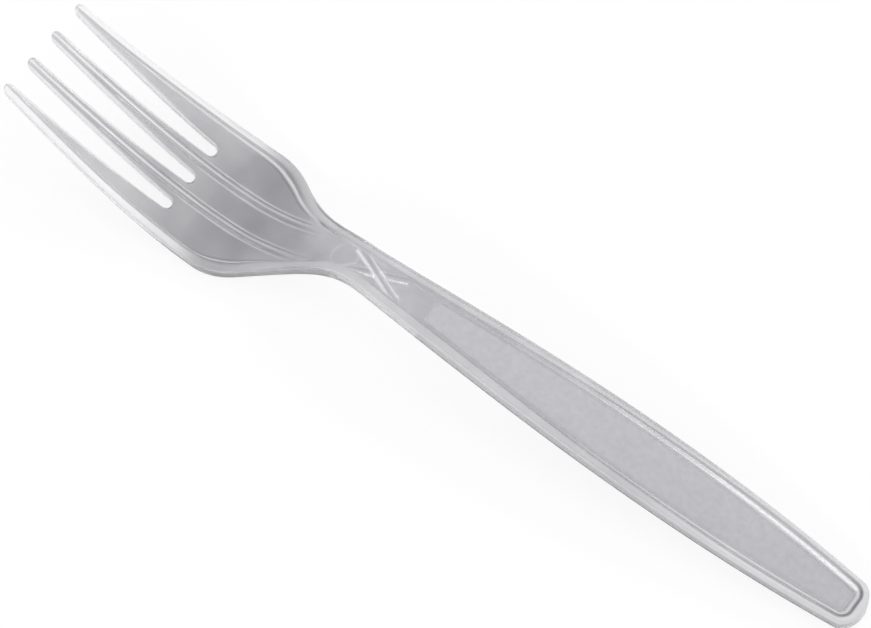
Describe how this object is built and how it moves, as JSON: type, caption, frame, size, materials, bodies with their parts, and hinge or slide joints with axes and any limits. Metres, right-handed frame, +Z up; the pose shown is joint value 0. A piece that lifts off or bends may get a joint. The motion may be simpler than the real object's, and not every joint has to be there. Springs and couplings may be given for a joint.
{
  "type": "fork",
  "caption": "Clear moulded table fork with tapered tines, raised rims and ridges, crossed ribs on the neck and a frosted grip panel on the handle.",
  "frame": {"origin": "on the table, midway between the tine tips and the handle end, on the fork's middle plane", "axes": "+X along the fork towards the handle end, +Y across it, +Z up from the table; the fork lies face up on its bowl and its handle end"},
  "size_m": [0.18, 0.0274, 0.0173],
  "materials": {
    "clear_plastic": "clear and glossy, frosted on the grip panel"
  },
  "bodies": {
    "root": {"fork": "clear_plastic"}
  },
  "joints": []
}
